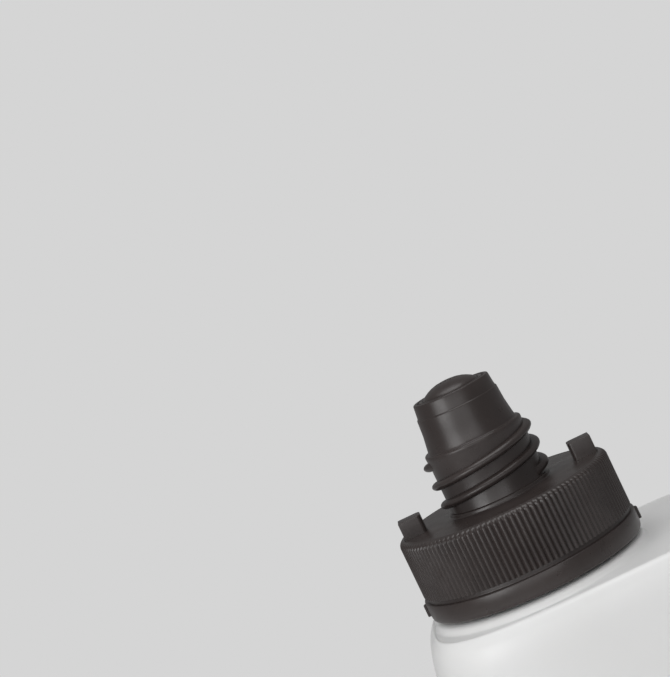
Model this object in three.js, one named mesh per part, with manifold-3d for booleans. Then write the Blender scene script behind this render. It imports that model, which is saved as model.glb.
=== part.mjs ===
// Toilet cleaner bottle: a blow-moulded bottle with an offset neck, and a moulded nozzle closure with its cap off.
// Millimetres, +Z up, +X to the right, -Y to the front, origin at the middle of the base.
import * as THREE from "three";
import { mergeVertices } from "three/addons/utils/BufferGeometryUtils.js";
import Module from "manifold-3d";

const wasm = await Module();
wasm.setup();

// Heights
const SHOULDER_Z = 205.4; // highest line of the shoulder
const SHOULDER_TO_RIM = 20.2; // from the shoulder to the top edge of the ribbed skirt
const RIM_Z = SHOULDER_Z + SHOULDER_TO_RIM; // heights of the closure are taken from here

// Bottle body, its ends measured from the neck's axis
const BODY_WIDTH = 92;
const BODY_DEPTH = 63;
const LEFT_END = 33;
const RIGHT_END = BODY_WIDTH - LEFT_END;
const NECK_X = LEFT_END - BODY_WIDTH / 2;
const BODY_POWER = 3.4; // superellipse power of the body's plan
const WALL = 1.2;
const HEEL = 7;
const PUSH_UP = 3.2;
const PUSH_UP_EDGE = 11;
const PEDESTAL_R = 26.3;
const PEDESTAL_TOP = -18.6;

// Neck finish
const NECK_R = 20;
const NECK_WALL = 2.7;
const BORE_R = NECK_R - NECK_WALL;
const NECK_TOP = -1.45;
const BEAD_HEIGHT = 1.3;
const BEAD_R = NECK_R + BEAD_HEIGHT;
const BEAD_Z = -5.1;
const TOOTH_COUNT = 8;
const TOOTH_WIDTH = 3;
const TOOTH_TOP = -14.4;
const TOOTH_BOTTOM = -17.6;
const TOOTH_GAP = 0.5;

// Closure, made to fit the neck, so that its skirt, band and lugs follow the neck's size
const SKIRT_CLEARANCE = 1.3; // between the neck's bead and the skirt
const SKIRT_INNER_R = BEAD_R + SKIRT_CLEARANCE;
const SKIRT_WALL = 2.45;
const COLLAR_R = SKIRT_INNER_R + SKIRT_WALL;
const RIB_COUNT = 122;
const RIB_DEPTH = 0.45;
const RIB_TOP = -0.2;
const RIB_BOTTOM = -12.4;
const BAND_LEDGE = 0.3; // how far the band stands out past the ribs
const BAND_R = COLLAR_R + BAND_LEDGE;
const BAND_TOP = -13.4;
const BAND_BOTTOM = -17.95;
const DECK_TOP = 1;
const RIM_CHAMFER = 1.45;
const DECK = 2;
const SEAL_CLEARANCE = 0.35;
const SEAL_WALL = 1.3;
const SEAL_DEPTH = 7.8;
const SNAP_CLEARANCE = 0.35;
const NOZZLE_ROOT_R = 11.35;
const NOZZLE_BORE_R = 9.6;
const LEDGE_Z = 15.7;
const LEDGE_R = 11.55;
const STEP_Z = 23.75; // a fine step below the tip
const TIP_R = 9.03;
const TIP_Z = 26.98;
const SOCKET_R = 6.75;
const SEAT_R = 5.7;
const SEAT_Z = 21.1;
const THREAD_R = 12.75;
const THREAD_STARTS = 2;
const THREAD_PITCH = 4.5; // between one ridge and the next
const THREAD_LEAD = THREAD_STARTS * THREAD_PITCH;
const THREAD_TURNS = 1.15;
const THREAD_FROM = -0.1; // turns from +X to where the first ridge starts
const THREAD_Z = 4.1; // height at which a ridge crosses the parting line
const THREAD_WIDTH = 2.1;
const THREAD_RUNOUT = 0.06; // share of a ridge's length that fades at each end
const FOOT_R = 12;
const FOOT_HEIGHT = 0.9;
const LUG_INSET = 1.85; // from the skirt's outside
const LUG_LENGTH = 5.2;
const LUG_OUTER_R = COLLAR_R - LUG_INSET;
const LUG_INNER_R = LUG_OUTER_R - LUG_LENGTH;
const LUG_WIDTH = 5;
const LUG_HEIGHT = 4;
const LUG_CORNER = 1;
const FIN_REACH = 0.65;
const FIN_WIDTH = 1.4;
const FIN_HEIGHT = 3.2;

// Jet insert
const INSERT_CLEARANCE = 0.2;
const INSERT_WALL = 1;
const DOME_RISE = 2.15;
const JET_COUNT = 5;
const JET_R = 0.5;
const JET_SPAN = 4.2;
const JET_Y = -1.3;
const JET_SAG = 0.35;
const JET_FAN = 0.16; // lean of the outermost holes, in radians

// Filling
const FILL_CLEARANCE = 0.3;
const HEADSPACE = 16; // from the gel's surface up to the shoulder's highest line
const FILL_TOP = SHOULDER_Z - HEADSPACE;

const ROUND = 60; // facets of a full circle
const FINE_ROUND = 48;
const PLAN_POINTS = 56;
const HEEL_STEPS = 5;
const THREAD_STEPS = 36;
const FINEST = 0.004; // facets flatter than this are merged
const TURN = 2 * Math.PI;

// A closed geometry from rings of points stacked along its length, with a flat fan on each end.
function loft(rings) {
  const count = rings[0].length;
  const points = rings.flat();
  const triangles = [];
  for (let i = 0; i + 1 < rings.length; i++) {
    for (let j = 0; j < count; j++) {
      const a = i * count + j;
      const b = i * count + ((j + 1) % count);
      triangles.push(a, b, b + count, a, b + count, a + count);
    }
  }
  for (const [ring, first, last] of [
    [rings[0], 0, false],
    [rings.at(-1), (rings.length - 1) * count, true],
  ]) {
    const centre = new THREE.Vector3();
    ring.forEach((p) => centre.add(p));
    points.push(centre.divideScalar(count));
    const hub = points.length - 1;
    for (let j = 0; j < count; j++) {
      const a = first + j;
      const b = first + ((j + 1) % count);
      triangles.push(...(last ? [hub, a, b] : [hub, b, a]));
    }
  }
  const geometry = new THREE.BufferGeometry().setFromPoints(points);
  geometry.setIndex(triangles);
  return geometry;
}

function solid(geometry) {
  const bare = geometry.clone();
  bare.deleteAttribute("normal");
  bare.deleteAttribute("uv");
  const merged = mergeVertices(bare, 1e-4);
  return new wasm.Manifold(
    new wasm.Mesh({
      numProp: 3,
      vertProperties: new Float32Array(merged.attributes.position.array),
      triVerts: new Uint32Array(merged.index.array),
    }),
  );
}

// A solid of revolution about +Z. The profile is [radius, height] points going up the outside.
function revolve(profile, segments = ROUND) {
  const points = profile.map(([r, z]) => new THREE.Vector2(r, z));
  return solid(new THREE.LatheGeometry(points, segments).rotateX(Math.PI / 2));
}

function prism(outline, bottom, height) {
  const shape = new THREE.Shape(outline.map(([x, y]) => new THREE.Vector2(x, y)));
  const options = { depth: height, bevelEnabled: false, curveSegments: 4 };
  return solid(new THREE.ExtrudeGeometry(shape, options).translate(0, 0, bottom));
}

const union = (pieces) => pieces.reduce((all, piece) => all.add(piece));
const onNeck = (piece) => piece.translate([NECK_X, 0, RIM_Z]);

function mesh(name, made, color, roughness) {
  const shape = made.simplify(FINEST).getMesh();
  const geometry = new THREE.BufferGeometry();
  geometry.setAttribute("position", new THREE.BufferAttribute(shape.vertProperties, 3));
  geometry.setIndex(new THREE.BufferAttribute(shape.triVerts, 1));
  geometry.computeVertexNormals();
  const material = new THREE.MeshStandardMaterial({ color, roughness, metalness: 0 });
  const piece = new THREE.Mesh(geometry, material);
  piece.name = name;
  return piece;
}

// One plan outline of the body, with both ends and half the depth drawn in by inset.
function plan(z, left, right, halfDepth, inset = 0) {
  const start = NECK_X - left + inset;
  const end = NECK_X + right - inset;
  const a = (end - start) / 2;
  const b = halfDepth - inset;
  const ring = [];
  for (let i = 0; i < PLAN_POINTS; i++) {
    const turn = (i / PLAN_POINTS) * TURN;
    const c = Math.cos(turn);
    const s = Math.sin(turn);
    const x = Math.sign(c) * Math.abs(c) ** (2 / BODY_POWER);
    const y = Math.sign(s) * Math.abs(s) ** (2 / BODY_POWER);
    ring.push(new THREE.Vector3((start + end) / 2 + a * x, b * y, z));
  }
  return ring;
}

// The flank below the shoulder: how far under it, and how far each end and each side is drawn in.
const FLANK = [
  [70, 0, 0, 0],
  [45, 0.4, 0, 0],
  [25, 1.5, 0.4, 0],
  [14, 2.5, 0.9, 0.15],
  [8.9, 3.1, 1.4, 0.3],
  [6.6, 3.5, 1.9, 0.45],
  [5, 3.9, 2.4, 0.65],
  [3.5, 4.4, 3.2, 0.95],
  [1.9, 5.2, 4.4, 1.5],
  [0.8, 6, 5.8, 2.1],
  [0.15, 6.7, 7.6, 2.9],
  [0, 7.4, 9, 3.7],
];
const VALLEY = [0.5, 9.4, 11.5, 5.6]; // the shallow dip between the shoulder's crest and the neck's pedestal

// Rings of the body from the heel to the shoulder, moved inwards by inset.
function bodyRings(inset, bottom) {
  const rings = [];
  const radius = HEEL - inset;
  for (let i = 0; i <= HEEL_STEPS; i++) {
    const turn = (i / HEEL_STEPS) * (Math.PI / 2);
    const drawnIn = radius * (1 - Math.sin(turn));
    const z = bottom + radius * (1 - Math.cos(turn));
    rings.push(plan(z, LEFT_END, RIGHT_END, BODY_DEPTH / 2, inset + drawnIn));
  }
  for (const [under, left, right, side] of FLANK) {
    const z = SHOULDER_Z - under - Math.min(inset, 2 * WALL);
    rings.push(plan(z, LEFT_END - left, RIGHT_END - right, BODY_DEPTH / 2 - side, inset));
  }
  return rings;
}

// The base is pushed up into the bottle so that it stands on its rim. This is the space under it,
// grown outwards where the wall or the gel above it is cut.
function baseDome(top, grow) {
  const rows = [
    [-2, 0],
    [top * 0.45, 1.4],
    [top * 0.85, 4.5],
    [top, 12],
  ];
  return solid(
    loft(
      rows.map(([z, inset]) =>
        plan(z, LEFT_END, RIGHT_END, BODY_DEPTH / 2, PUSH_UP_EDGE + inset - grow),
      ),
    ),
  );
}

function makeBottle() {
  const outerRings = bodyRings(0, 0);
  const [dip, left, right, side] = VALLEY;
  outerRings.push(plan(SHOULDER_Z - dip, LEFT_END - left, RIGHT_END - right, BODY_DEPTH / 2 - side));
  const body = solid(loft(outerRings));

  const pedestal = onNeck(
    revolve([
      [0, PEDESTAL_TOP - 5],
      [PEDESTAL_R - 1, PEDESTAL_TOP - 5],
      [PEDESTAL_R + 0.2, PEDESTAL_TOP - 1.6],
      [PEDESTAL_R, PEDESTAL_TOP - 0.9],
      [PEDESTAL_R - 0.5, PEDESTAL_TOP - 0.3],
      [PEDESTAL_R - 1.4, PEDESTAL_TOP],
      [NECK_R + 0.8, PEDESTAL_TOP],
      [NECK_R, PEDESTAL_TOP + 0.7],
      [NECK_R, BEAD_Z - 1.1],
      [BEAD_R, BEAD_Z - 0.5],
      [BEAD_R, BEAD_Z + 0.4],
      [NECK_R, BEAD_Z + 2.1],
      [NECK_R, NECK_TOP - 0.4],
      [NECK_R - 0.4, NECK_TOP],
      [0, NECK_TOP],
    ]),
  );
  const teeth = [];
  for (let i = 0; i < TOOTH_COUNT; i++) {
    const reach = SKIRT_INNER_R - TOOTH_GAP;
    const half = TOOTH_WIDTH / 2;
    const ramp = [
      [NECK_R - 1, -half],
      [reach, -half],
      [reach, -half + 0.8],
      [NECK_R - 1, half],
    ];
    const tooth = prism(ramp, TOOTH_BOTTOM, TOOTH_TOP - TOOTH_BOTTOM);
    teeth.push(onNeck(tooth.rotate([0, 0, (360 * i) / TOOTH_COUNT])));
  }

  const inside = solid(loft(bodyRings(WALL, WALL)));
  const bore = onNeck(
    revolve([
      [0, -SHOULDER_TO_RIM - 9],
      [PEDESTAL_R - 4, -SHOULDER_TO_RIM - 9],
      [BORE_R + 3.4, -SHOULDER_TO_RIM - 1.6],
      [BORE_R + 1.4, PEDESTAL_TOP - 0.4],
      [BORE_R, PEDESTAL_TOP + 2.4],
      [BORE_R, NECK_TOP + 2],
      [0, NECK_TOP + 2],
    ]),
  );
  const hollow = inside.subtract(baseDome(PUSH_UP + WALL, WALL));
  return union([body, pedestal, ...teeth])
    .subtract(hollow)
    .subtract(bore)
    .subtract(baseDome(PUSH_UP, 0));
}

// The ribs stand on the skirt as one toothed ring, drawn in at its top to meet the rounded rim.
function ribRing() {
  const outline = (radius, depth, z) => {
    const ring = [];
    for (let i = 0; i < RIB_COUNT; i++) {
      for (const [share, out] of [
        [0, 0],
        [0.34, 1],
        [0.66, 1],
      ]) {
        const turn = ((i + share) / RIB_COUNT) * TURN;
        const r = radius - depth + out * depth;
        ring.push(new THREE.Vector3(r * Math.cos(turn), r * Math.sin(turn), z));
      }
    }
    return ring;
  };
  return solid(
    loft([
      outline(COLLAR_R, RIB_DEPTH, RIB_BOTTOM),
      outline(COLLAR_R, RIB_DEPTH, RIB_TOP),
      outline(COLLAR_R - RIM_CHAMFER, 0.02, DECK_TOP - 0.1),
    ]),
  );
}

function threadRings() {
  const profile = [
    [-0.5, -1],
    [0.15, -0.92],
    [0.78, -0.6],
    [1, -0.2],
    [1, 0.2],
    [0.78, 0.6],
    [0.15, 0.92],
    [-0.5, 1],
  ];
  const rings = [];
  const steps = Math.round(THREAD_TURNS * THREAD_STEPS);
  for (let i = 0; i <= steps; i++) {
    const along = i / steps;
    const fade = Math.min(1, along / THREAD_RUNOUT + 0.05, (1 - along) / THREAD_RUNOUT + 0.05);
    const turns = THREAD_FROM + along * THREAD_TURNS;
    const turn = turns * TURN;
    const z = THREAD_Z + turns * THREAD_LEAD;
    const rise = (THREAD_R - NOZZLE_ROOT_R) * fade;
    rings.push(
      profile
        .map(([out, up]) => {
          const r = NOZZLE_ROOT_R + (out > 0 ? out * rise : out);
          const half = (THREAD_WIDTH / 2) * (0.4 + 0.6 * fade);
          return new THREE.Vector3(r * Math.cos(turn), r * Math.sin(turn), z + up * half);
        })
        .reverse(),
    );
  }
  return rings;
}

function makeCollar() {
  const sealR = BORE_R - SEAL_CLEARANCE;
  const valleyR = COLLAR_R - RIB_DEPTH;
  const snapR = NECK_R + SNAP_CLEARANCE;
  const deckUnder = DECK_TOP - DECK;
  const section = [
    [SOCKET_R, TIP_Z - 0.3],
    [SOCKET_R, SEAT_Z],
    [SEAT_R, SEAT_Z],
    [SEAT_R, SEAT_Z - 0.8],
    [SEAT_R + 2.4, SEAT_Z - 1.5],
    [NOZZLE_BORE_R - 0.3, LEDGE_Z - 1.7],
    [NOZZLE_BORE_R, DECK_TOP],
    [NOZZLE_BORE_R, deckUnder],
    [sealR - SEAL_WALL, deckUnder],
    [sealR - SEAL_WALL, deckUnder - SEAL_DEPTH],
    [sealR - 0.6, deckUnder - SEAL_DEPTH],
    [sealR, deckUnder - SEAL_DEPTH + 0.9],
    [sealR, deckUnder],
    [SKIRT_INNER_R - 0.8, deckUnder],
    [SKIRT_INNER_R - 0.6, deckUnder - 0.4],
    [SKIRT_INNER_R - 0.6, BEAD_Z - 1.2],
    [snapR, BEAD_Z - 1.9],
    [snapR, BEAD_Z - 2.7],
    [SKIRT_INNER_R, BEAD_Z - 4.4],
    [SKIRT_INNER_R, BAND_BOTTOM + 0.6],
    [SKIRT_INNER_R + 0.6, BAND_BOTTOM],
    [BAND_R - 0.9, BAND_BOTTOM],
    [BAND_R - 0.4, BAND_BOTTOM + 0.25],
    [BAND_R - 0.1, BAND_BOTTOM + 0.9],
    [BAND_R, BAND_BOTTOM + 1.8],
    [BAND_R, BAND_TOP - 0.3],
    [BAND_R - 0.3, BAND_TOP],
    [valleyR - 0.5, BAND_TOP],
    [valleyR - 0.5, RIB_TOP],
    [COLLAR_R - RIM_CHAMFER - 0.3, DECK_TOP],
    [FOOT_R, DECK_TOP],
    [FOOT_R, DECK_TOP + FOOT_HEIGHT - 0.25],
    [FOOT_R - 0.25, DECK_TOP + FOOT_HEIGHT],
    [NOZZLE_ROOT_R, DECK_TOP + FOOT_HEIGHT + 0.1],
    [NOZZLE_ROOT_R, LEDGE_Z - 3],
    [LEDGE_R, LEDGE_Z - 0.9],
    [LEDGE_R, LEDGE_Z - 0.3],
    [LEDGE_R - 0.2, LEDGE_Z],
    [LEDGE_R - 1.05, LEDGE_Z + 0.1],
    [TIP_R + 1.17, LEDGE_Z + 2.1],
    [TIP_R + 0.82, LEDGE_Z + 4],
    [TIP_R + 0.59, STEP_Z - 0.25],
    [TIP_R + 0.35, STEP_Z],
    [TIP_R, TIP_Z - 0.25],
    [TIP_R - 0.25, TIP_Z],
    [TIP_R - 0.85, TIP_Z],
    [TIP_R - 0.95, TIP_Z - 0.45],
    [TIP_R - 1.35, TIP_Z - 0.45],
    [TIP_R - 1.45, TIP_Z],
    [SOCKET_R + 0.25, TIP_Z],
    [SOCKET_R, TIP_Z - 0.3],
  ];
  const pieces = [revolve(section)];
  const ridge = solid(loft(threadRings()));
  for (let i = 0; i < THREAD_STARTS; i++) {
    pieces.push(ridge.rotate([0, 0, (360 * i) / THREAD_STARTS]));
  }
  const core = revolve([
    [0, RIB_BOTTOM - 1],
    [valleyR - 0.8, RIB_BOTTOM - 1],
    [valleyR - 1.6, DECK_TOP + 1],
    [0, DECK_TOP + 1],
  ]);
  pieces.push(ribRing().subtract(core));

  // Two lugs on the deck and two fins on the band, one of each at either end of the parting line.
  const half = LUG_WIDTH / 2;
  const lugPlan = [
    [LUG_INNER_R, -half + LUG_CORNER],
    [LUG_INNER_R + LUG_CORNER * 0.3, -half + LUG_CORNER * 0.3],
    [LUG_INNER_R + LUG_CORNER, -half],
    [LUG_OUTER_R - 0.25, -half],
    [LUG_OUTER_R, 0],
    [LUG_OUTER_R - 0.25, half],
    [LUG_INNER_R + LUG_CORNER, half],
    [LUG_INNER_R + LUG_CORNER * 0.3, half - LUG_CORNER * 0.3],
    [LUG_INNER_R, half - LUG_CORNER],
  ];
  const finPlan = [
    [BAND_R - 0.8, -FIN_WIDTH / 2 - 0.3],
    [BAND_R + FIN_REACH, -FIN_WIDTH / 2 + 0.2],
    [BAND_R + FIN_REACH, FIN_WIDTH / 2 - 0.2],
    [BAND_R - 0.8, FIN_WIDTH / 2 + 0.3],
  ];
  for (const side of [0, 180]) {
    const lug = prism(lugPlan, DECK_TOP - 0.5, LUG_HEIGHT + 0.5);
    const fin = prism(finPlan, BAND_TOP - 0.25 - FIN_HEIGHT, FIN_HEIGHT);
    pieces.push(lug.rotate([0, 0, side]), fin.rotate([0, 0, side]));
  }
  // Stops inside the skirt stand between the teeth of the neck and keep the closure from turning.
  const stopReach = NECK_R + TOOTH_GAP;
  const stopPlan = [
    [stopReach, -TOOTH_WIDTH / 2 + 0.8],
    [SKIRT_INNER_R + 0.8, -TOOTH_WIDTH / 2],
    [SKIRT_INNER_R + 0.8, TOOTH_WIDTH / 2],
    [stopReach, TOOTH_WIDTH / 2],
  ];
  for (let i = 0; i < TOOTH_COUNT; i++) {
    const stop = prism(stopPlan, TOOTH_BOTTOM + 0.3, TOOTH_TOP - TOOTH_BOTTOM);
    pieces.push(stop.rotate([0, 0, (360 * (i + 0.5)) / TOOTH_COUNT]));
  }
  return onNeck(union(pieces));
}

function makeInsert() {
  const outerR = SOCKET_R - INSERT_CLEARANCE;
  const innerR = outerR - INSERT_WALL;
  const foot = SEAT_Z + INSERT_CLEARANCE;
  const top = TIP_Z + DOME_RISE;
  const section = [
    [innerR, foot],
    [outerR, foot],
    [outerR, TIP_Z - 0.1],
    [outerR - 0.35, TIP_Z + 0.2],
    [2.9, top - 0.4],
    [1.5, top - 0.08],
    [0, top],
    [0, top - INSERT_WALL],
    [2.6, top - INSERT_WALL - 0.4],
    [innerR, TIP_Z - 0.9],
    [innerR, foot],
  ];
  const shell = revolve(section, FINE_ROUND);
  const holes = [];
  for (let i = 0; i < JET_COUNT; i++) {
    const across = (2 * i) / (JET_COUNT - 1) - 1;
    const hole = new THREE.CylinderGeometry(JET_R, JET_R, 8, 12).rotateX(Math.PI / 2);
    hole.rotateY(across * JET_FAN);
    hole.translate(across * (JET_SPAN / 2), JET_Y + JET_SAG * across * across, TIP_Z + 1);
    holes.push(solid(hole));
  }
  return onNeck(shell.subtract(union(holes)));
}

function makeFill() {
  const gel = solid(loft(bodyRings(WALL + FILL_CLEARANCE, WALL + FILL_CLEARANCE)));
  const above = new THREE.BoxGeometry(2 * BODY_WIDTH, 2 * BODY_WIDTH, SHOULDER_Z);
  const surface = solid(above.translate(0, 0, FILL_TOP + SHOULDER_Z / 2));
  return gel.subtract(surface).subtract(baseDome(PUSH_UP + 2 * WALL, 2.4 * WALL));
}

const bottle = new THREE.Group();
bottle.name = "toilet_cleaner_bottle";
bottle.add(mesh("bottle_shell", makeBottle(), 0xeeeeec, 0.42));
bottle.add(mesh("nozzle_collar", makeCollar(), 0x3a3331, 0.45));
bottle.add(mesh("jet_insert", makeInsert(), 0x3a3331, 0.45));
bottle.add(mesh("cleaner_gel", makeFill(), 0xc6e61e, 0.2));

export default bottle;
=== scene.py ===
# %% [markdown]
# A toilet cleaner bottle with an offset neck and a nozzle closure, seen from close to its nozzle.
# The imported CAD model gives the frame, and the sizes below follow its solids, apart from fine trim.
# Here each visible piece gets a finer shape, a plastic of its own and a plain studio around it.

import math

import bpy
import bmesh
from mathutils import Matrix, Vector


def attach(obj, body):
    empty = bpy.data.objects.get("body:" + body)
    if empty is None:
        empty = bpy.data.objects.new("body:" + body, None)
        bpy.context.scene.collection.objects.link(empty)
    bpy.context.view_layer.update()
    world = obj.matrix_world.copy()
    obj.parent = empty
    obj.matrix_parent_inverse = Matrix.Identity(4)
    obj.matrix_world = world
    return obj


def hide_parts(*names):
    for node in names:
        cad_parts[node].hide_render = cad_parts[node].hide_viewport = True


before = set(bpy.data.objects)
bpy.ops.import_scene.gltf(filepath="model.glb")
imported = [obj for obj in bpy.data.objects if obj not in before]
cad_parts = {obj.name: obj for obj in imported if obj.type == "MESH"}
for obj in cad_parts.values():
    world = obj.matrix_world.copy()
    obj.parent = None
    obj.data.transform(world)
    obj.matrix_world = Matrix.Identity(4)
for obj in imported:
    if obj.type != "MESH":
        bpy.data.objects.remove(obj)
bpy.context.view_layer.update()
print("CAD nodes", len(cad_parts))

# %% [markdown]
# Blender counts in metres, but a bottle is measured in millimetres, so lengths are written in
# millimetres and multiplied by MM. The neck stands off the middle of the bottle. Its axis and the
# level of the closure's rim are the place that all radii and heights of the closure start from.
# Two points that are nearer to each other than TOUCH count as one.

# %% Driving places
MM = 0.001
TOUCH = 0.001 * MM
NECK_X = -13 * MM
RIM_Z = 225.6 * MM
print("neck axis at x", NECK_X, "rim at z", RIM_Z)

# %% [markdown]
# The camera looks almost level at the nozzle and is rolled, so the bottle leans left in the picture.
# It could be placed by eye, but the closure has many circles, and a circle seen aslant tells where
# it is seen from. So its place and its two directions come from fitting those circles to the picture.

# %% Camera
PICTURE_HEIGHT = 677
FOCAL_PIXELS = 2000
SENSOR = 36.0
NEAREST_SEEN = 10 * MM
CAMERA_FROM_RIM = Vector((0.0, -438.5, 72.14)) * MM
CAMERA_RIGHT = Vector((0.90176, 0.01313, -0.43204))
CAMERA_AHEAD = Vector((-0.04099, 0.99763, -0.05524))


def add_camera():
    data = bpy.data.cameras.new("camera")
    data.sensor_width = SENSOR
    data.lens = FOCAL_PIXELS * SENSOR / PICTURE_HEIGHT
    data.clip_start = NEAREST_SEEN
    camera = bpy.data.objects.new("camera", data)
    bpy.context.scene.collection.objects.link(camera)
    right = CAMERA_RIGHT.normalized()
    back = -CAMERA_AHEAD.normalized()
    up = back.cross(right)
    facing = Matrix((right, up, back)).transposed().to_4x4()
    place = CAMERA_FROM_RIM + Vector((NECK_X, 0, RIM_Z))
    camera.matrix_world = Matrix.Translation(place) @ facing
    bpy.context.scene.camera = camera
    print("camera at", [round(v, 4) for v in place])


add_camera()

# %% [markdown]
# A material is a graph of nodes. Each node could be added and linked in lines of its own, but shader
# maths reads best as plain expressions. This small class wraps one socket, so that a sum or a
# product of masks adds its own Math node, and its node method makes any other node.


# %% Shader helper
class Socket:
    def __init__(self, tree, link=None):
        self.tree = tree
        self.link = link

    def node(self, kind, settings=None, inputs=None, output=0):
        made = self.tree.nodes.new(kind)
        for key, value in (settings or {}).items():
            setattr(made, key, value)
        for key, value in (inputs or {}).items():
            if isinstance(value, Socket):
                self.tree.links.new(value.link, made.inputs[key])
            else:
                made.inputs[key].default_value = value
        return Socket(self.tree, made.outputs[output])

    def maths(self, operation, *values):
        return self.node("ShaderNodeMath", {"operation": operation}, dict(enumerate(values)))

    def __add__(self, other):
        return self.maths("ADD", self, other)

    def __radd__(self, other):
        return self.maths("ADD", other, self)

    def __sub__(self, other):
        return self.maths("SUBTRACT", self, other)

    def __rsub__(self, other):
        return self.maths("SUBTRACT", other, self)

    def __mul__(self, other):
        return self.maths("MULTIPLY", self, other)

    def __rmul__(self, other):
        return self.maths("MULTIPLY", other, self)

    def __abs__(self):
        return self.maths("ABSOLUTE", self)

    def smooth(self, low, high, to_low=0.0, to_high=1.0):
        settings = {"interpolation_type": "SMOOTHSTEP"}
        inputs = {0: self, 1: low, 2: high, 3: to_low, 4: to_high}
        return self.node("ShaderNodeMapRange", settings, inputs)

    def noise(self, scale, detail=2):
        inputs = {"Vector": self, "Scale": scale, "Detail": detail}
        return self.node("ShaderNodeTexNoise", {}, inputs)

    def blend(self, first, second):
        inputs = {0: self, 6: first, 7: second}
        return self.node("ShaderNodeMix", {"data_type": "RGBA"}, inputs, 2)

    def bump(self, strength, depth):
        inputs = {"Height": self, "Strength": strength, "Distance": depth}
        return self.node("ShaderNodeBump", {}, inputs)


print("shader helper ready")

# %% [markdown]
# Every finish here starts the same way: a Principled shader, and the place on the piece in metres.
# Object coordinates are used, because they stay put on the piece wherever it is moved.
# Noise mostly lies between 0.3 and 0.7, so a mask is stretched between such limits.

# %% A new finish
NOISE_CORE = (0.35, 0.65)
NOISE_SPAN = (0.3, 0.7)
PLASTIC_IOR = 1.5


def new_material(name):
    material = bpy.data.materials.new(name)
    material.use_nodes = True
    tree = material.node_tree
    place = Socket(tree).node("ShaderNodeTexCoord", output="Object")
    return material, tree.nodes["Principled BSDF"], place


def feed(socket, node, name):
    socket.tree.links.new(socket.link, node.inputs[name])


print("noise masks run from", NOISE_SPAN[0], "to", NOISE_SPAN[1])

# %% [markdown]
# The closure is moulded polypropylene with dark brown pigment. One flat colour and one gloss would do
# from afar, but close up such a moulding has a fine even grain from the steel, faint flow marks and a
# satin gloss that changes from place to place. So colour, roughness and bump all come from noise.

# %% Closure plastic
CLOSURE_DARK = (0.033, 0.0255, 0.024, 1)
CLOSURE_LIGHT = (0.042, 0.033, 0.031, 1)
CLOSURE_SATIN = (0.27, 0.35)
FLOW_SCALE = 90
SATIN_SCALE = 260
GRAIN_SCALE = 5200
COARSE_SCALE = 1500
GRAIN_SHARE = 0.6
GRAIN_STRENGTH = 0.12
GRAIN_DEPTH = 0.06 * MM


def make_closure_plastic():
    material, shader, place = new_material("closure_plastic")
    flow = place.noise(FLOW_SCALE, detail=3).smooth(*NOISE_CORE)
    feed(flow.blend(CLOSURE_DARK, CLOSURE_LIGHT), shader, "Base Color")
    patches = place.noise(SATIN_SCALE, detail=3)
    feed(patches.smooth(*NOISE_SPAN, *CLOSURE_SATIN), shader, "Roughness")
    fine = place.noise(GRAIN_SCALE) * GRAIN_SHARE
    grain = fine + place.noise(COARSE_SCALE) * (1 - GRAIN_SHARE)
    feed(grain.bump(GRAIN_STRENGTH, GRAIN_DEPTH), shader, "Normal")
    shader.inputs["IOR"].default_value = PLASTIC_IOR
    return material


closure_plastic = make_closure_plastic()
print("made", closure_plastic.name)

# %% [markdown]
# The bottle is blown from white polyethylene, which is waxy and softly glossy. Light goes a little
# way in before it comes back, which Subsurface gives. The two halves of its mould leave a fine raised
# line round the ends and under the base. It could be modelled, but it hardly stands out, so it is a
# bump. The blown wall is never quite even, so a slow bump rides under the fine ones.

# %% Bottle plastic
BOTTLE_WHITE = (0.83, 0.83, 0.828, 1)
BOTTLE_WARM = (0.81, 0.81, 0.804, 1)
BOTTLE_SATIN = (0.34, 0.44)
CLOUD_SCALE = 30
WAX_SCALE = 120
WALL_SCALE = 70
WALL_SHARE = 0.5
SKIN_SCALE = 1800
SKIN_SHARE = 0.06
SEAM_HALF = 0.22 * MM
SEAM_TOP_HALF = SEAM_HALF * 0.4
SEAM_SHARE = 0.35
UNEVEN_STRENGTH = 0.35
UNEVEN_DEPTH = 0.35 * MM
GLOW_WEIGHT = 0.4
GLOW_DEPTH = 1.5 * MM


def make_bottle_plastic():
    material, shader, place = new_material("bottle_plastic")
    cloud = place.noise(CLOUD_SCALE).smooth(*NOISE_CORE)
    feed(cloud.blend(BOTTLE_WHITE, BOTTLE_WARM), shader, "Base Color")
    patches = place.noise(WAX_SCALE, detail=3)
    feed(patches.smooth(*NOISE_SPAN, *BOTTLE_SATIN), shader, "Roughness")
    off_seam = abs(place.node("ShaderNodeSeparateXYZ", {}, {"Vector": place}, "Y"))
    seam = 1 - off_seam.smooth(SEAM_TOP_HALF, SEAM_HALF)
    wall = place.noise(WALL_SCALE, detail=1) * WALL_SHARE
    skin = place.noise(SKIN_SCALE) * SKIN_SHARE
    uneven = wall + skin + seam * SEAM_SHARE
    feed(uneven.bump(UNEVEN_STRENGTH, UNEVEN_DEPTH), shader, "Normal")
    shader.inputs["IOR"].default_value = PLASTIC_IOR
    shader.inputs["Subsurface Weight"].default_value = GLOW_WEIGHT
    shader.inputs["Subsurface Radius"].default_value = (1.0, 1.0, 1.0)
    shader.inputs["Subsurface Scale"].default_value = GLOW_DEPTH
    return material


bottle_plastic = make_bottle_plastic()
print("made", bottle_plastic.name)

# %% [markdown]
# A mesh could be written down point by point, but it is modelled here the way that a hand would do
# it: a primitive, then extrudes, moves and scales in edit mode. Operators act on all that is
# selected, so each piece starts from an empty selection, and parts are picked by their place.


# %% Starting and picking
def take(*pieces):
    bpy.ops.object.select_all(action="DESELECT")
    for piece in pieces:
        piece.select_set(True)
    if pieces:
        bpy.context.view_layer.objects.active = pieces[0]


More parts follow.
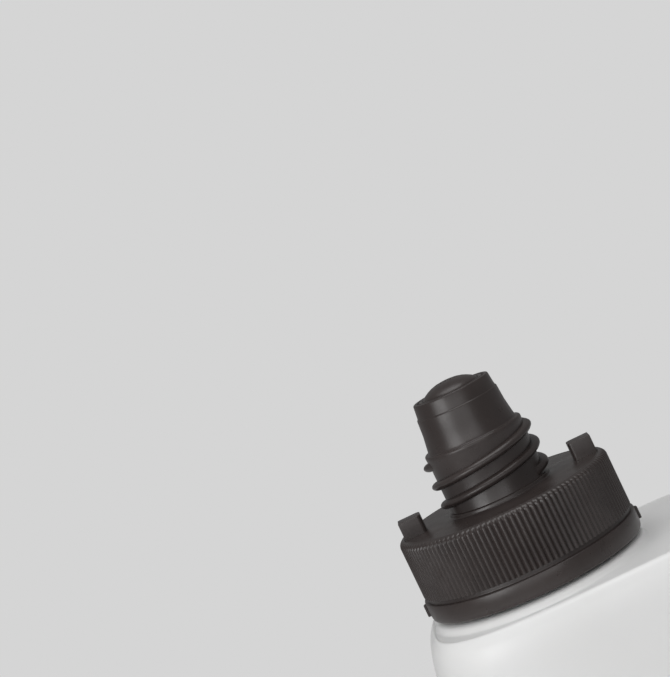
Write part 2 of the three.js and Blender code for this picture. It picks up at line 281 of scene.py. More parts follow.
def start_piece(name, add, **settings):
    take()
    add(**settings)
    piece = bpy.context.active_object
    piece.name = name
    piece.data.name = name
    return piece


def edit(piece):
    bpy.context.view_layer.objects.active = piece
    bpy.ops.object.mode_set(mode="EDIT")
    bpy.ops.mesh.select_mode(type="VERT")


def done(piece):
    bpy.ops.object.mode_set(mode="OBJECT")
    return piece


def pick_all():
    bpy.ops.mesh.select_all(action="SELECT")


def pick(piece, test, kind="VERT"):
    bpy.ops.mesh.select_mode(type=kind)
    bpy.ops.mesh.select_all(action="DESELECT")
    mesh = bmesh.from_edit_mesh(piece.data)
    parts = {"VERT": mesh.verts, "EDGE": mesh.edges, "FACE": mesh.faces}[kind]
    found = [part for part in parts if test(part)]
    for part in found:
        part.select_set(True)
    mesh.select_flush_mode()
    bmesh.update_edit_mesh(piece.data)
    return len(found)


print("pieces can be started and picked")

# %% [markdown]
# These few moves shape what is picked. Modifiers finish a piece where one does it better than edit
# mode, such as an even bevel on every sharp edge. They are applied at once, so the mesh is final.


# %% Shaping and finishing
def move(x=0.0, y=0.0, z=0.0):
    bpy.ops.transform.translate(value=(x, y, z))


def scale(about, x=1.0, y=1.0, z=1.0):
    bpy.ops.transform.resize(value=(x, y, z), center_override=about)


def extrude(x=0.0, y=0.0, z=0.0):
    bpy.ops.mesh.extrude_region_move(TRANSFORM_OT_translate={"value": (x, y, z)})


def close_up(distance=TOUCH):
    pick_all()
    bpy.ops.mesh.remove_doubles(threshold=distance)
    bpy.ops.mesh.normals_make_consistent(inside=False)


def finish_with(piece, kind, **settings):
    modifier = piece.modifiers.new(kind.lower(), kind)
    for key, value in settings.items():
        setattr(modifier, key, value)
    take(piece)
    bpy.ops.object.modifier_apply(modifier=modifier.name)


def bevel_sharp_edges(piece, width, sharper_than):
    finish_with(
        piece,
        "BEVEL",
        width=width * MM,
        segments=2,
        limit_method="ANGLE",
        angle_limit=math.radians(sharper_than),
    )


def join(pieces):
    take(*pieces)
    bpy.ops.object.join()
    return pieces[0]


print("pieces can be shaped and finished")

# %% [markdown]
# A finished piece is settled: its place goes into its mesh, its faces are shaded smooth up to an
# angle, it gets its plastic, the frame is told which body it rides on, and the CAD node that it
# stands for is hidden.


# %% Settling
def settle(piece, material, node, angle=32):
    take(piece)
    bpy.ops.object.transform_apply(location=True, rotation=True, scale=True)
    bpy.ops.object.shade_smooth_by_angle(angle=math.radians(angle))
    piece.data.materials.clear()
    piece.data.materials.append(material)
    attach(piece, "root")
    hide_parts(node)
    triangles = sum(len(face.vertices) - 2 for face in piece.data.polygons)
    print(piece.name, triangles, "triangles")


print("pieces can be settled")

# %% [markdown]
# Round mouldings are turned like wood on a lathe: one vertex is extruded along the section, and the
# section is spun about the neck's axis. A stack of cylinders would do too, but a section shows the
# whole outline at a glance. Spin can leave the surface inside out, so doubles are merged and normals
# recalculated after it.

# %% Turning
TURN = 2 * math.pi
FINE_STEPS = 192


def turned(name, section, steps=FINE_STEPS, closed=True):
    piece = start_piece(name, bpy.ops.mesh.primitive_plane_add, size=MM)
    edit(piece)
    pick_all()
    bpy.ops.mesh.merge(type="CENTER")
    pick_all()
    points = [Vector((NECK_X + r * MM, 0, RIM_Z + z * MM)) for r, z in section]
    move(*points[0])
    for before, after in zip(points, points[1:]):
        extrude(*(after - before))
    if closed:
        extrude(*(points[0] - points[-1]))
    pick_all()
    bpy.ops.mesh.remove_doubles(threshold=TOUCH / 10)
    pick_all()
    bpy.ops.mesh.spin(steps=steps, angle=TURN, center=(NECK_X, 0, 0), axis=(0, 0, 1))
    close_up(2 * TOUCH)
    return done(piece)


print("turning uses", FINE_STEPS, "steps")

# %% [markdown]
# The closure is one moulding: a ribbed skirt over the neck, a flat deck with two lugs, a smooth band
# under the skirt and the threaded nozzle. Its parts could be turned one by one, but the steel forms
# them in one go, so one section holds all that is round. Each point is a radius and a height.
# The section starts inside: down the nozzle, round the plug seal that sits in the neck, and past the
# snap ridge that holds the closure on the neck's bead.

# %% Inside of the closure
DECK_TOP = 1.0
DECK_UNDER = -1.0
TIP_Z = 26.98
SOCKET_R = 6.75
SEAT_R = 5.7
SEAT_Z = 21.1
BORE_R = 9.6
SEAL_R = 16.95
SEAL_INNER_R = 15.65
SEAL_END = -8.8
SNAP_R = 20.35
SNAP_SPACE_R = 22.0
SKIRT_INNER_R = 22.6
NOZZLE_INSIDE = [
    (SOCKET_R, TIP_Z - 0.3),
    (SOCKET_R, SEAT_Z),
    (SEAT_R, SEAT_Z),
    (SEAT_R, SEAT_Z - 0.8),
    (8.1, 19.6),
    (9.3, 14.0),
    (BORE_R, DECK_TOP),
    (BORE_R, DECK_UNDER),
]
PLUG_SEAL = [
    (SEAL_INNER_R, DECK_UNDER),
    (SEAL_INNER_R, SEAL_END),
    (SEAL_R - 0.6, SEAL_END),
    (SEAL_R, SEAL_END + 0.9),
    (SEAL_R, DECK_UNDER),
]
SNAP_RIDGE = [
    (SNAP_SPACE_R - 0.2, DECK_UNDER),
    (SNAP_SPACE_R, DECK_UNDER - 0.4),
    (SNAP_SPACE_R, -6.3),
    (SNAP_R, -7.0),
    (SNAP_R, -7.8),
    (SKIRT_INNER_R, -9.5),
]
inside = NOZZLE_INSIDE + PLUG_SEAL + SNAP_RIDGE
print("inside of the closure has", len(inside), "points")

# %% [markdown]
# Outside, the section goes round the smooth band and up under the ribs, which are a piece of their
# own. There it keeps just inside the valleys between them. The band's lower edge is rounded more
# than its upper one.

# %% Band and skirt
COLLAR_R = 25.05
RIB_DEPTH = 0.48
VALLEY_R = COLLAR_R - RIB_DEPTH
RIB_BOTTOM = -12.4
BAND_R = 25.35
BAND_TOP = -13.4
BAND_BOTTOM = -17.95
UNDER_RIBS_R = VALLEY_R - 0.5
BAND = [
    (SKIRT_INNER_R, BAND_BOTTOM + 0.6),
    (SKIRT_INNER_R + 0.6, BAND_BOTTOM),
    (BAND_R - 0.9, BAND_BOTTOM),
    (BAND_R - 0.5, BAND_BOTTOM + 0.1),
    (BAND_R - 0.2, BAND_BOTTOM + 0.35),
    (BAND_R - 0.06, BAND_BOTTOM + 0.8),
    (BAND_R, BAND_BOTTOM + 1.5),
    (BAND_R, BAND_TOP - 0.2),
    (BAND_R - 0.06, BAND_TOP - 0.06),
    (BAND_R - 0.2, BAND_TOP),
]
UNDER_RIBS = [
    (VALLEY_R, BAND_TOP + 0.06),
    (VALLEY_R - 0.1, BAND_TOP + 0.2),
    (VALLEY_R - 0.1, RIB_BOTTOM + 0.1),
    (UNDER_RIBS_R, RIB_BOTTOM + 0.3),
    (UNDER_RIBS_R, -0.3),
]
skirt = BAND + UNDER_RIBS
print("band and skirt have", len(skirt), "points")

# %% [markdown]
# The section ends with the deck, a low step at the nozzle's foot, the straight root that carries the
# thread, the ledge over it and the tapered tip with a groove round its mouth.

# %% Deck and nozzle
RIM_CHAMFER = 1.45
DECK_R = COLLAR_R - RIM_CHAMFER - 0.3
FOOT_R = 12.0
ROOT_R = 11.35
LEDGE_R = 11.55
LEDGE_Z = 15.7
STEP_Z = 23.75
TIP_R = 9.03
DECK = [
    (DECK_R, DECK_TOP - 0.1),
    (DECK_R - 0.1, DECK_TOP),
    (FOOT_R + 0.35, DECK_TOP),
    (FOOT_R + 0.1, DECK_TOP + 0.1),
    (FOOT_R, DECK_TOP + 0.35),
    (FOOT_R, DECK_TOP + 0.7),
    (FOOT_R - 0.1, DECK_TOP + 0.9),
    (ROOT_R, DECK_TOP + 1.0),
]
LEDGE = [
    (ROOT_R, LEDGE_Z - 3),
    (LEDGE_R - 0.05, LEDGE_Z - 1.2),
    (LEDGE_R, LEDGE_Z - 0.55),
    (LEDGE_R - 0.05, LEDGE_Z - 0.25),
    (LEDGE_R - 0.25, LEDGE_Z),
    (10.8, LEDGE_Z + 0.02),
    (10.55, LEDGE_Z + 0.2),
    (10.42, LEDGE_Z + 0.7),
]
TIP = [
    (10.2, 17.8),
    (9.87, 20.0),
    (9.64, STEP_Z - 0.4),
    (9.58, STEP_Z - 0.15),
    (TIP_R + 0.36, STEP_Z),
    (TIP_R + 0.3, STEP_Z + 0.35),
    (TIP_R, TIP_Z - 0.3),
    (TIP_R - 0.09, TIP_Z - 0.09),
    (TIP_R - 0.3, TIP_Z),
    (TIP_R - 0.85, TIP_Z),
    (TIP_R - 0.95, TIP_Z - 0.4),
    (TIP_R - 1.35, TIP_Z - 0.4),
    (TIP_R - 1.45, TIP_Z),
    (SOCKET_R + 0.25, TIP_Z),
]
COLLAR_EDGE = 0.1

collar_section = inside + skirt + DECK + LEDGE + TIP
collar_body = turned("collar_body", collar_section)
bevel_sharp_edges(collar_body, COLLAR_EDGE, sharper_than=30)
print("collar section has", len(collar_section), "points")

# %% [markdown]
# The skirt carries 122 fine ribs for the fingers. One rib could be modelled and copied round, but the
# copies would have to be stitched together, so one circle with eight points to a rib is the start.
# The points of each rib are drawn in by their place on it, then the outline is extruded up to the
# rim, where the ribs fade into a rounded edge, and back down inside the skirt to close the ring.

# %% Form of a rib
RIB_COUNT = 122
POINTS_PER_RIB = 8
SKIRT_POINTS = RIB_COUNT * POINTS_PER_RIB
# How deep each point of a rib lies, from the valley between two ribs to the middle of one.
RIB_FORM = [1.0, 0.78, 0.3, 0.05, 0.0]


def rib_radius(index, radius, share):
    step = index % POINTS_PER_RIB
    form = RIB_FORM[min(step, POINTS_PER_RIB - step)]
    return (radius - RIB_DEPTH * share * form) * MM


def draw_ribs(piece, drawn, share):
    mesh = bmesh.from_edit_mesh(piece.data)
    for v in mesh.verts:
        if v.select:
            turn = math.atan2(v.co.y, v.co.x - NECK_X) % TURN
            index = round(turn / TURN * SKIRT_POINTS) % SKIRT_POINTS
            radius = rib_radius(index, COLLAR_R - drawn, share)
            v.co.x = NECK_X + radius * math.cos(turn)
            v.co.y = radius * math.sin(turn)
    bmesh.update_edit_mesh(piece.data)


print("each rib has", POINTS_PER_RIB, "points and is", RIB_DEPTH, "mm deep")

# %% Ribbed skirt
RIM_END = 1.5
# Each row is a height, how far the ring is drawn in there, and how much of the ribs' depth is left.
RIM_STEPS = [
    (-0.35, 0.0, 1.0),
    (0.1, 0.12, 0.85),
    (0.45, 0.38, 0.6),
    (0.72, 0.72, 0.35),
    (0.9, 1.1, 0.12),
    (DECK_TOP, RIM_END, 0.0),
]
INNER_IN = 2.0
INNER_DROP = 0.35
INNER_BOTTOM = RIB_BOTTOM + 0.4


def make_ribbed_skirt():
    piece = start_piece(
        "ribbed_skirt",
        bpy.ops.mesh.primitive_circle_add,
        vertices=SKIRT_POINTS,
        radius=COLLAR_R * MM,
        location=(NECK_X, 0, RIM_Z + RIB_BOTTOM * MM),
    )
    bpy.ops.object.transform_apply(location=True)
    edit(piece)
    pick_all()
    draw_ribs(piece, 0.0, 1.0)
    below = RIB_BOTTOM
    for z, drawn, share in RIM_STEPS:
        extrude(z=(z - below) * MM)
        draw_ribs(piece, drawn, share)
        below = z
    extrude(z=-INNER_DROP * MM)
    narrower = (COLLAR_R - INNER_IN) / (COLLAR_R - RIM_END)
    scale((NECK_X, 0, RIM_Z), narrower, narrower)
    extrude(z=(INNER_BOTTOM - DECK_TOP + INNER_DROP) * MM)
    low = RIM_Z + (INNER_BOTTOM + 0.1) * MM
    pick(piece, lambda edge: all(v.co.z < low for v in edge.verts), "EDGE")
    bpy.ops.mesh.bridge_edge_loops()
    close_up()
    return done(piece)


ribbed_skirt = make_ribbed_skirt()
print("skirt ribs", RIB_COUNT)

# %% [markdown]
# The thread has two starts: two round ridges, half a turn apart, each climb the nozzle in a little
# over one turn, right-handed, so that the cap comes off in half the turns.
# A curve with a bevel could follow the helix, but the Screw modifier sweeps a small ring of points
# straight to a mesh. Its two ends then sink into the nozzle, as a moulded thread's ends do, so that
# the cap can find its start.

# %% Thread
THREAD_R = 13.0
THREAD_LEAD = 9.0
THREAD_TURNS = 1.15
THREAD_FROM = -0.1
THREAD_Z = 4.1
THREAD_START_Z = THREAD_Z + THREAD_FROM * THREAD_LEAD
THREAD_WIDTH = 2.1
THREAD_ROOT = 0.1
THREAD_POINTS = 20
THREAD_STEPS = 96
RUNOUT = 0.06
RUNOUT_SINK = 0.05


def sink_ends(piece):
    climb = THREAD_LEAD * MM / TURN
    length = THREAD_TURNS * TURN
    root = ROOT_R * MM
    for v in piece.data.vertices:
        turn = math.atan2(v.co.y, v.co.x)
        lap = round(((v.co.z - THREAD_START_Z * MM) / climb - turn) / TURN)
        along = min(1.0, max(0.0, (turn + lap * TURN) / length))
        fade = min(1.0, along / RUNOUT, (1 - along) / RUNOUT)
        fade = math.sin(fade * math.pi / 2)
        radius = math.hypot(v.co.x, v.co.y)
        if radius > root:
            keep = (root + (radius - root) * fade - RUNOUT_SINK * MM * (1 - fade)) / radius
            v.co.x *= keep
            v.co.y *= keep


def make_thread():
    piece = start_piece(
        "thread",
        bpy.ops.mesh.primitive_circle_add,
        vertices=THREAD_POINTS,
        radius=MM,
        fill_type="NGON",
        rotation=(math.pi / 2, 0, 0),
    )
    bpy.ops.object.transform_apply(rotation=True)
    edit(piece)
    pick_all()
    scale((0, 0, 0), THREAD_R - ROOT_R + THREAD_ROOT, 1.0, THREAD_WIDTH / 2)
    move((ROOT_R - THREAD_ROOT) * MM, 0, THREAD_START_Z * MM)
    done(piece)
    finish_with(
        piece,
        "SCREW",
        angle=THREAD_TURNS * TURN,
        screw_offset=THREAD_TURNS * THREAD_LEAD * MM,
        steps=round(THREAD_TURNS * THREAD_STEPS),
        render_steps=round(THREAD_TURNS * THREAD_STEPS),
        use_smooth_shade=True,
    )
    sink_ends(piece)
    edit(piece)
    close_up()
    done(piece)
    piece.data.transform(Matrix.Rotation(THREAD_FROM * TURN, 4, "Z"))
    piece.data.transform(Matrix.Translation((NECK_X, 0, RIM_Z)))
    return piece


thread = make_thread()
print("each ridge turns", THREAD_TURNS, "times")

# %% [markdown]
# What comes in pairs on the closure stands half a turn apart about the neck's axis, so one is
# modelled and the other is a turned copy with a mesh of its own.


# %% The second of a pair
def opposite(piece):
    twin = piece.copy()
    twin.data = piece.data.copy()
    bpy.context.scene.collection.objects.link(twin)
    to_axis = Matrix.Translation((-NECK_X, 0, 0))
    half_turn = Matrix.Rotation(math.pi, 4, "Z")
    twin.data.transform(to_axis.inverted() @ half_turn @ to_axis)
    return twin


other_thread = opposite(thread)
print("second ridge is", other_thread.name)

# %% [markdown]
# Two lugs stand on the deck and two fins on the band, at the ends of the parting line. Their outlines
# are simple, so each is a cube of the right size, sunk a little into the closure, whose corners are
# picked by their place and bevelled: broadly at the lug's inner end, finely everywhere else.

# %% Blocks and corners
FINE_EDGE = 0.15


def block(name, low, high):
    size = [(b - a) * MM for a, b in zip(low, high)]
    centre = [(a + b) / 2 * MM for a, b in zip(low, high)]
    centre[0] += NECK_X
    centre[2] += RIM_Z
    piece = start_piece(name, bpy.ops.mesh.primitive_cube_add, size=1, location=centre)
    piece.scale = size
    bpy.ops.object.transform_apply(location=True, scale=True)
    return piece


def upright(edge):
    a, b = (v.co for v in edge.verts)
    return abs(a.x - b.x) < TOUCH and abs(a.y - b.y) < TOUCH


def bevel_picked(width, segments=3):
    bpy.ops.mesh.bevel(offset=width * MM, segments=segments, affect="EDGES")


print("fine edges are", FINE_EDGE, "mm wide")

# %% Lugs
LUG_INNER_R = 17.9
LUG_OUTER_R = 23.2
LUG_WIDTH = 5.2
LUG_TOP = 5.0
LUG_SINK = 0.6
LUG_ROUND = 1.0
LUG_CORNER = 0.2


def make_lug():
    half = LUG_WIDTH / 2
    piece = block("lug", (LUG_INNER_R, -half, DECK_TOP - LUG_SINK), (LUG_OUTER_R, half, LUG_TOP))
    edit(piece)
    middle = NECK_X + (LUG_INNER_R + LUG_OUTER_R) / 2 * MM
    pick(piece, lambda edge: upright(edge) and edge.verts[0].co.x < middle, "EDGE")
    bevel_picked(LUG_ROUND, segments=10)
    pick(piece, lambda edge: upright(edge) and edge.verts[0].co.x > middle, "EDGE")
    bevel_picked(LUG_CORNER)
    top = RIM_Z + (LUG_TOP - 0.01) * MM
    pick(piece, lambda edge: min(v.co.z for v in edge.verts) > top, "EDGE")
    bevel_picked(FINE_EDGE)
    return done(piece)


lug = make_lug()
lugs = [lug, opposite(lug)]
print("lugs", len(lugs))

# %% Fins
FIN_REACH = 0.65
FIN_WIDTH = 1.3
FIN_HEIGHT = 3.2
FIN_SINK = 0.8
FIN_TOP = BAND_TOP - 0.3
FIN_NARROWS_TO = 0.75
FIN_SHORTENS_TO = 0.85


def make_fin():
    half = FIN_WIDTH / 2
    bottom = FIN_TOP - FIN_HEIGHT
    piece = block("fin", (BAND_R - FIN_SINK, -half, bottom), (BAND_R + FIN_REACH, half, FIN_TOP))
    edit(piece)
    band = NECK_X + BAND_R * MM
    pick(piece, lambda face: face.normal.x > 0.9, "FACE")
    scale((band, 0, RIM_Z + bottom * MM), 1.0, FIN_NARROWS_TO, FIN_SHORTENS_TO)
    pick(piece, lambda edge: min(v.co.x for v in edge.verts) > band, "EDGE")
    bevel_picked(FINE_EDGE)
    return done(piece)


fin = make_fin()
fins = [fin, opposite(fin)]
print("fins", len(fins))

# %% The whole closure
nozzle_closure = join([collar_body, ribbed_skirt, thread, other_thread] + lugs + fins)
nozzle_closure.name = "nozzle_closure"
settle(nozzle_closure, closure_plastic, "nozzle_collar")

# %% [markdown]
# A separate insert is pressed into the nozzle. Its low dome has five small holes in a shallow arc,
# which spread what is squeezed out of the bottle. The dome is turned. The holes could be bridged
# into it by hand, but they lean outwards a little, so they are cut with leaning cylinders.

# %% Jet insert
DOME_TOP = TIP_Z + 2.15
INSERT_R = SOCKET_R - 0.2
INSERT_INNER_R = INSERT_R - 1.0
INSERT_FOOT = 21.3
INSERT_SECTION = [
    (0.0, DOME_TOP),
    (1.5, DOME_TOP - 0.06),
    (2.8, DOME_TOP - 0.24),
    (3.9, DOME_TOP - 0.55),
    (4.8, DOME_TOP - 0.93),
    (5.6, DOME_TOP - 1.37),
    (6.15, DOME_TOP - 1.77),
    (INSERT_R - 0.08, TIP_Z + 0.05),
    (INSERT_R, TIP_Z - 0.2),
    (INSERT_R, INSERT_FOOT),
    (INSERT_INNER_R, INSERT_FOOT),
    (INSERT_INNER_R, TIP_Z - 0.9),
    (2.6, DOME_TOP - 1.4),
    (0.0, DOME_TOP - 1.1),
]
INSERT_STEPS = 128
INSERT_EDGE = 0.05

jet_dome = turned("jet_insert_dome", INSERT_SECTION, INSERT_STEPS, closed=False)
print("insert section has", len(INSERT_SECTION), "points")

# %% Holes in the insert
JET_COUNT = 5
JET_R = 0.4
JET_SPAN = 4.2
JET_Y = -1.3
JET_SAG = 0.35
JET_FAN = 0.16
CUTTER_LENGTH = 8
CUTTER_Z = TIP_Z + 1
CUTTER_POINTS = 32


def make_jet_cutters():
    cutters = []
    for i in range(JET_COUNT):
        across = 2 * i / (JET_COUNT - 1) - 1
        x = NECK_X + across * JET_SPAN / 2 * MM
        y = (JET_Y + JET_SAG * across * across) * MM
        cutter = start_piece(
            "jet_cutter",
            bpy.ops.mesh.primitive_cylinder_add,
            vertices=CUTTER_POINTS,
            radius=JET_R * MM,
            depth=CUTTER_LENGTH * MM,
            location=(x, y, RIM_Z + CUTTER_Z * MM),
            rotation=(0, across * JET_FAN, 0),
        )
        cutters.append(cutter)
    return join(cutters)


cutters = make_jet_cutters()
finish_with(jet_dome, "BOOLEAN", operation="DIFFERENCE", object=cutters, solver="EXACT")
bpy.data.objects.remove(cutters, do_unlink=True)
bevel_sharp_edges(jet_dome, INSERT_EDGE, sharper_than=40)
settle(jet_dome, closure_plastic, "jet_insert")

# %% [markdown]
# The bottle is blown: a soft tube of plastic is shut in a mould and air presses it to the walls.
# Its plan is a rounded rectangle with bowed sides, a superellipse. A bevelled box would have flat
# sides, so a circle is pressed to that plan once, and every ring above is the last one extruded,
# scaled and shifted.

# %% Plan of the body
LEFT_END = 33.0
RIGHT_END = 59.0
HALF_DEPTH = 31.5
BODY_POWER = 3.4
PLAN_POINTS = 192


def press_to_plan(piece, left, right, half):
    middle = (right - left) / 2
    reach = (right + left) / 2
    for v in piece.data.vertices:
        turn = math.atan2(v.co.y, v.co.x)
        c = math.cos(turn)
        s = math.sin(turn)
        x = math.copysign(abs(c) ** (2 / BODY_POWER), c)
        y = math.copysign(abs(s) ** (2 / BODY_POWER), s)
        v.co.x = NECK_X + (middle + reach * x) * MM
        v.co.y = half * y * MM


def draw_in(ring, left, right, side, z):
    """Extrude the selected ring to height z, drawn in from the plan's ends and sides."""
    old_left, old_right, old_half, old_z = ring
    new_left = LEFT_END - left
    new_right = RIGHT_END - right
    new_half = HALF_DEPTH - side
    extrude(z=(z - old_z) * MM)
    middle = (old_right - old_left) / 2
    wider = (new_left + new_right) / (old_left + old_right)
    scale((NECK_X + middle * MM, 0, z * MM), wider, new_half / old_half)
    move(x=((new_right - new_left) / 2 - middle) * MM)
    return new_left, new_right, new_half, z


print("plan is", LEFT_END + RIGHT_END, "by", 2 * HALF_DEPTH, "mm")

# %% [markdown]
# The rings climb a round heel and straight sides, then turn in over a rounded edge and dip into the
# shallow valley of the shoulder. The ends are drawn in more than the sides. Underneath, the rings go
# in from the heel to the standing rim and up the pushed-up base, so that the bottle doesn't rock.

# %% Bottle body
HEEL = 7.0
HEEL_STEPS = 8
SHOULDER_Z = 205.4
# Each row is a depth under the shoulder, then how far the left end, right end and sides are drawn in.
FLANK = [
    (70, 0, 0, 0),
    (45, 0.4, 0, 0),
    (25, 1.5, 0.4, 0),
    (14, 2.5, 0.9, 0.15),
    (8.9, 3.1, 1.4, 0.3),
    (6.6, 3.5, 1.9, 0.45),
    (5, 3.9, 2.4, 0.65),
    (3.5, 4.4, 3.2, 0.95),
    (2.6, 4.8, 3.8, 1.2),
    (1.9, 5.2, 4.4, 1.5),
    (1.3, 5.6, 5.05, 1.8),
    (0.8, 6, 5.8, 2.1),
    (0.4, 6.25, 6.6, 2.5),
    (0.12, 6.45, 7.6, 2.9),
    (0.02, 6.6, 8.4, 3.3),
    (0.0, 6.7, 9.2, 3.7),
    (0.06, 6.85, 10.2, 4.2),
    (0.18, 7.0, 11.6, 4.9),
]
# Each row of the base is how far it is drawn in, and its height.
PUSH_UP = 3.2
BASE = [(10.7, 0), (11.3, 0.15), (12.4, 1.45), (15.5, 2.7), (23, PUSH_UP)]


def make_body():
    piece = start_piece(
        "bottle_body", bpy.ops.mesh.primitive_circle_add, vertices=PLAN_POINTS, radius=MM
    )
    first = (LEFT_END - HEEL, RIGHT_END - HEEL, HALF_DEPTH - HEEL)
    press_to_plan(piece, *first)
    edit(piece)
    pick_all()
    ring = (*first, 0.0)
    for i in range(1, HEEL_STEPS + 1):
        turn = i / HEEL_STEPS * math.pi / 2
        drawn = HEEL * (1 - math.sin(turn))
        ring = draw_in(ring, drawn, drawn, drawn, HEEL * (1 - math.cos(turn)))
    for under, left, right, side in FLANK:
        ring = draw_in(ring, left, right, side, SHOULDER_Z - under)
    pick(piece, lambda v: v.co.z < TOUCH)
    ring = (*first, 0.0)
    for drawn, z in BASE:
        ring = draw_in(ring, drawn, drawn, drawn, z)
    bpy.ops.mesh.edge_face_add()
    return done(piece)


bottle_body = make_body()
print("body rings", HEEL_STEPS + len(FLANK))

# %% [markdown]
# The neck is turned as the closure was. It stands on a low round pedestal with a soft foot. The
# shoulder between that foot and the body's edge goes from a circle to a superellipse, which a bridge
# between the two edges does in one step.
# Solidify then gives the whole shell its blown wall, on the inside, so no outer size changes.

# %% Neck and shoulder
PEDESTAL_TOP = -18.6
NECK_R = 20.0
BEAD_R = 21.3
LIP_Z = -1.45
WALL = 1.2
SHOULDER_CUTS = 4
NECK_SECTION = [
    (25.95, -20.4),
    (25.8, -20.34),
    (25.62, -20.2),
    (25.45, -19.98),
    (25.28, -19.7),
    (25.1, -19.4),
    (24.85, -19.1),
    (24.5, -18.85),
    (24.1, -18.68),
    (23.6, PEDESTAL_TOP),
    (NECK_R + 0.9, PEDESTAL_TOP),
    (NECK_R + 0.2, PEDESTAL_TOP + 0.2),
    (NECK_R, PEDESTAL_TOP + 0.7),
    (NECK_R, -6.2),
    (BEAD_R - 0.2, -5.75),
    (BEAD_R, -5.5),
    (BEAD_R, -4.8),
    (BEAD_R - 0.3, -4.4),
    (NECK_R + 0.1, -3.1),
    (NECK_R, -2.8),
    (NECK_R, LIP_Z - 0.4),
    (NECK_R - 0.25, LIP_Z - 0.1),
    (NECK_R - 0.5, LIP_Z),
    (NECK_R - 1.1, LIP_Z),
]


def on_shoulder_gap(edge):
    low = (SHOULDER_Z - 1.5) * MM
    high = (SHOULDER_Z + 0.5) * MM
    return len(edge.link_faces) == 1 and all(low < v.co.z < high for v in edge.verts)


def make_shell():
    neck = turned("bottle_neck", NECK_SECTION, PLAN_POINTS, closed=False)
    piece = join([bottle_body, neck])
    edit(piece)
    print("shoulder edges", pick(piece, on_shoulder_gap, "EDGE"))
    bpy.ops.mesh.bridge_edge_loops(number_cuts=SHOULDER_CUTS, interpolation="LINEAR")
    close_up()
    return done(piece)


bottle = make_shell()
finish_with(bottle, "SOLIDIFY", thickness=WALL * MM, offset=-1.0, use_even_offset=False)
bottle.name = "bottle"
settle(bottle, bottle_plastic, "bottle_shell", angle=40)

# %% [markdown]
# Green gel fills the bottle. It could be modelled again, but the wall and the closure hide it, so the
# CAD node is kept as it is and only gets a wet, slightly cloudy look.

# %% Gel
GEL_DEEP = (0.42, 0.66, 0.01, 1)
GEL_PALE = (0.55, 0.76, 0.03, 1)
GEL_GLOSS = (0.08, 0.16)
GEL_SCALE = 45


def make_gel():
    material, shader, place = new_material("gel")
    cloud = place.noise(GEL_SCALE, detail=3)
    feed(cloud.smooth(*NOISE_SPAN).blend(GEL_DEEP, GEL_PALE), shader, "Base Color")
    feed(cloud.smooth(*NOISE_SPAN, *GEL_GLOSS), shader, "Roughness")
    return material


gel_node = bpy.data.objects["cleaner_gel"]
gel_node.data.materials.clear()
gel_node.data.materials.append(make_gel())
print("gel fills", gel_node.name)

# %% [markdown]
# The studio is a pale floor that runs to the horizon under a pale sky. Round the bottle the floor is
# lit and takes its soft shadow. A backdrop would need a bend behind the bottle. Here, farther off,
# the camera sees the sky's own grey on the floor instead, so that floor and sky meet unseen.

# %% Floor
SKY_SEEN = 0.665
SKY_TINT = (1.0, 1.0, 1.0, 1)
FLOOR_GREY = (0.8, 0.8, 0.8, 1)
FLOOR_ROUGHNESS = 0.95
FLOOR_SIZE = 40
LIT_WITHIN = 0.25
PLAIN_BEYOND = 0.9


def rays(tree, kind):
    return Socket(tree).node("ShaderNodeLightPath", output=kind)


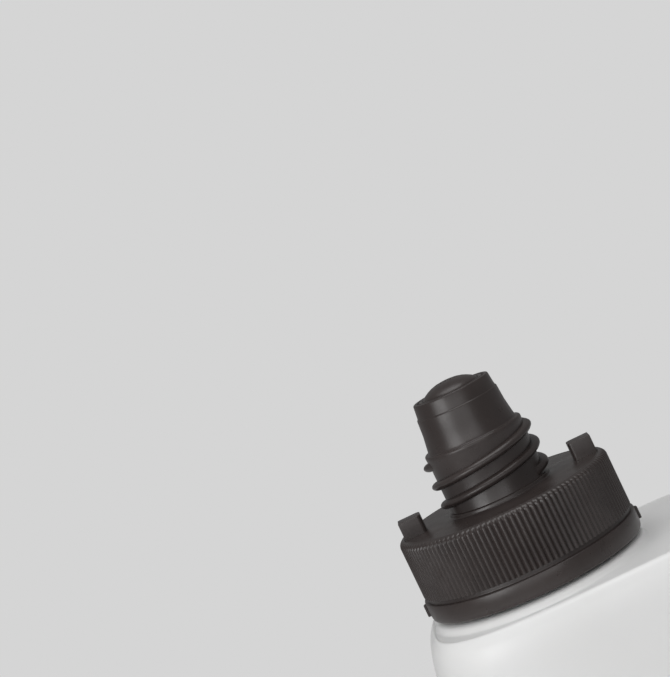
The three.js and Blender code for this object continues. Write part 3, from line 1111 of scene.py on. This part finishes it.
def make_floor_paint():
    material, shader, place = new_material("studio_paint")
    shader.inputs["Base Color"].default_value = FLOOR_GREY
    shader.inputs["Roughness"].default_value = FLOOR_ROUGHNESS
    shader.inputs["Specular IOR Level"].default_value = 0.0
    tree = material.node_tree
    sight = rays(tree, "Is Camera Ray") + rays(tree, "Is Transmission Ray")
    distance = place.node("ShaderNodeVectorMath", {"operation": "LENGTH"}, {0: place}, "Value")
    far = distance.smooth(LIT_WITHIN, PLAIN_BEYOND)
    plain = place.node("ShaderNodeEmission", {}, {"Color": SKY_TINT, "Strength": SKY_SEEN})
    lit = Socket(tree, shader.outputs[0])
    mixed = place.node("ShaderNodeMixShader", {}, {0: sight * far, 1: lit, 2: plain})
    feed(mixed, tree.nodes["Material Output"], "Surface")
    return material


floor = start_piece("floor", bpy.ops.mesh.primitive_plane_add, size=FLOOR_SIZE)
floor.data.materials.append(make_floor_paint())
print("floor is", FLOOR_SIZE, "metres wide")

# %% [markdown]
# Small lamps would leave hard white spots on satin plastic, so three broad lamps light the closure:
# the key from the left, a wide one in front for the ribs, and one overhead for the shoulder.


# %% Lamps
def add_lamp(name, place, size, power):
    data = bpy.data.lights.new(name, "AREA")
    data.shape = "RECTANGLE"
    data.size, data.size_y = size
    data.energy = power
    lamp = bpy.data.objects.new(name, data)
    bpy.context.scene.collection.objects.link(lamp)
    target = Vector((NECK_X, 0, RIM_Z))
    lamp.location = place
    lamp.rotation_euler = (target - Vector(place)).to_track_quat("-Z", "Y").to_euler()
    print(name, "lamp at", place)


add_lamp("key", (-0.66, -0.62, 0.47), (0.52, 0.42), 2.75)
add_lamp("front", (-0.05, -0.95, 0.47), (0.95, 0.36), 1.65)
add_lamp("top", (0.0, -0.1, 1.17), (0.8, 0.8), 4.4)

# %% [markdown]
# The sky fills the shadows. One strength would have to serve both as light and as background, so
# Light Path tells the kinds of rays apart: the sky is pale where it is seen, weaker where it lights
# the bottle, and weakest in a gloss, where it would veil the dark plastic.

# %% Sky
SKY_LIGHT = 0.3
SKY_GLOSS = 0.2

world = bpy.data.worlds.new("studio")
bpy.context.scene.world = world
world.use_nodes = True
sky = world.node_tree.nodes["Background"]
sight = rays(world.node_tree, "Is Camera Ray") + rays(world.node_tree, "Is Transmission Ray")
gloss = rays(world.node_tree, "Is Glossy Ray")
shown = sight * (SKY_SEEN - SKY_LIGHT) + gloss * (SKY_GLOSS - SKY_LIGHT) + SKY_LIGHT
feed(shown, sky, "Strength")
sky.inputs["Color"].default_value = SKY_TINT
bpy.context.scene.view_settings.view_transform = "Standard"
print("sky is", SKY_SEEN, "where seen and", SKY_LIGHT, "as light")
